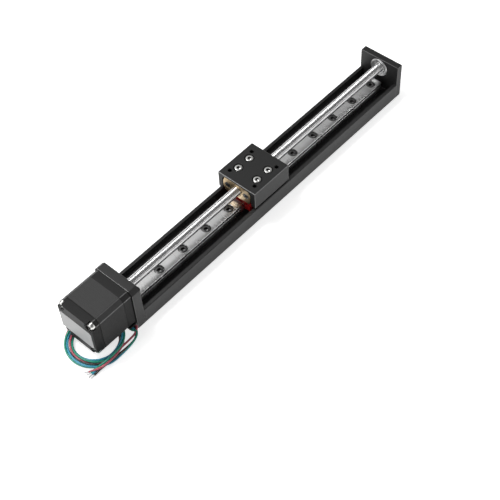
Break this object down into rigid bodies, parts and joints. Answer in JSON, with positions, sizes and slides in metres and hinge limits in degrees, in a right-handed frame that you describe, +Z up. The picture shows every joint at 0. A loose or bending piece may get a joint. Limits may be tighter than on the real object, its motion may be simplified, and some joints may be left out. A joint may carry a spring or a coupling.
{
  "type": "lead screw linear slide",
  "caption": "Motor driven lead screw slide: a carriage on a ball rail inside a U-shaped base channel, moved along by a fine-pitch screw.",
  "frame": {"origin": "middle of the slide's length and width, on the surface that it stands on", "axes": "+X along the slide from the motor to the end plate, +Y to the left of that, +Z up out of the carriage"},
  "size_m": [0.2875, 0.0404, 0.033],
  "materials": {
    "black_anodised": "black anodised, satin",
    "black_steel": "black oxide",
    "nickel_screws": "nickel plated",
    "ground_steel": "ground",
    "bearing_steel": "polished",
    "motor_black": "black, satin",
    "lamination_steel": "grey black laminations",
    "copper_wire": "enamelled copper",
    "magnet": "sintered",
    "label_silver": "bare plate, satin",
    "black_plastic": "matte",
    "red_plastic": "moulded",
    "brass": "turned",
    "screw_steel": "rolled thread",
    "lead_insulation": "soft insulation"
  },
  "bodies": {
    "base": {"base_channel": "black_anodised", "motor_mount_plate": "black_anodised", "mount_plate_screws": "black_steel", "end_plate": "black_anodised", "end_plate_screws": "black_steel", "linear_rail": "ground_steel", "rail_screws": "black_steel", "end_bearing_outer_ring": "bearing_steel", "end_bearing_balls": "bearing_steel", "end_bearing_shields": "bearing_steel", "motor_front_cap": "motor_black", "motor_stator": "lamination_steel", "motor_windings": "copper_wire", "motor_rear_cap": "motor_black", "motor_case_screws": "nickel_screws", "motor_mount_screws": "black_steel", "motor_bearing_outer_rings": "bearing_steel", "motor_bearing_balls": "bearing_steel", "motor_wave_washer": "bearing_steel", "motor_label": "label_silver", "lead_outlet": "black_plastic", "lead_exit_run": "lead_insulation", "lead_coil": "lead_insulation", "lead_tail": "lead_insulation"},
    "carriage": {"carriage": "black_anodised", "carriage_screws": "nickel_screws", "guide_block": "ground_steel", "block_end_cap_front": "red_plastic", "block_end_cap_rear": "red_plastic", "block_end_seals": "red_plastic", "guide_balls": "ground_steel", "lead_nut": "brass", "nut_screws": "black_steel"},
    "screw": {"lead_screw": "screw_steel", "rotor_cups": "lamination_steel", "rotor_magnet": "magnet", "motor_bearing_inner_rings": "bearing_steel", "end_bearing_inner_ring": "bearing_steel"}
  },
  "joints": [
    {"name": "screw_spin", "type": "hinge", "parent": "base", "child": "screw", "pos_m": [0, 0, 0.0187], "axis": [1, 0, 0], "range_deg": [-38520, 33480]},
    {"name": "carriage_slide", "type": "slide", "parent": "base", "child": "carriage", "axis": [1, 0, 0], "range_m": [-0.093, 0.107]}
  ],
  "couplings": [
    {"joint": "screw_spin", "follows": "carriage_slide", "rad_per_m": -6283.2}
  ]
}
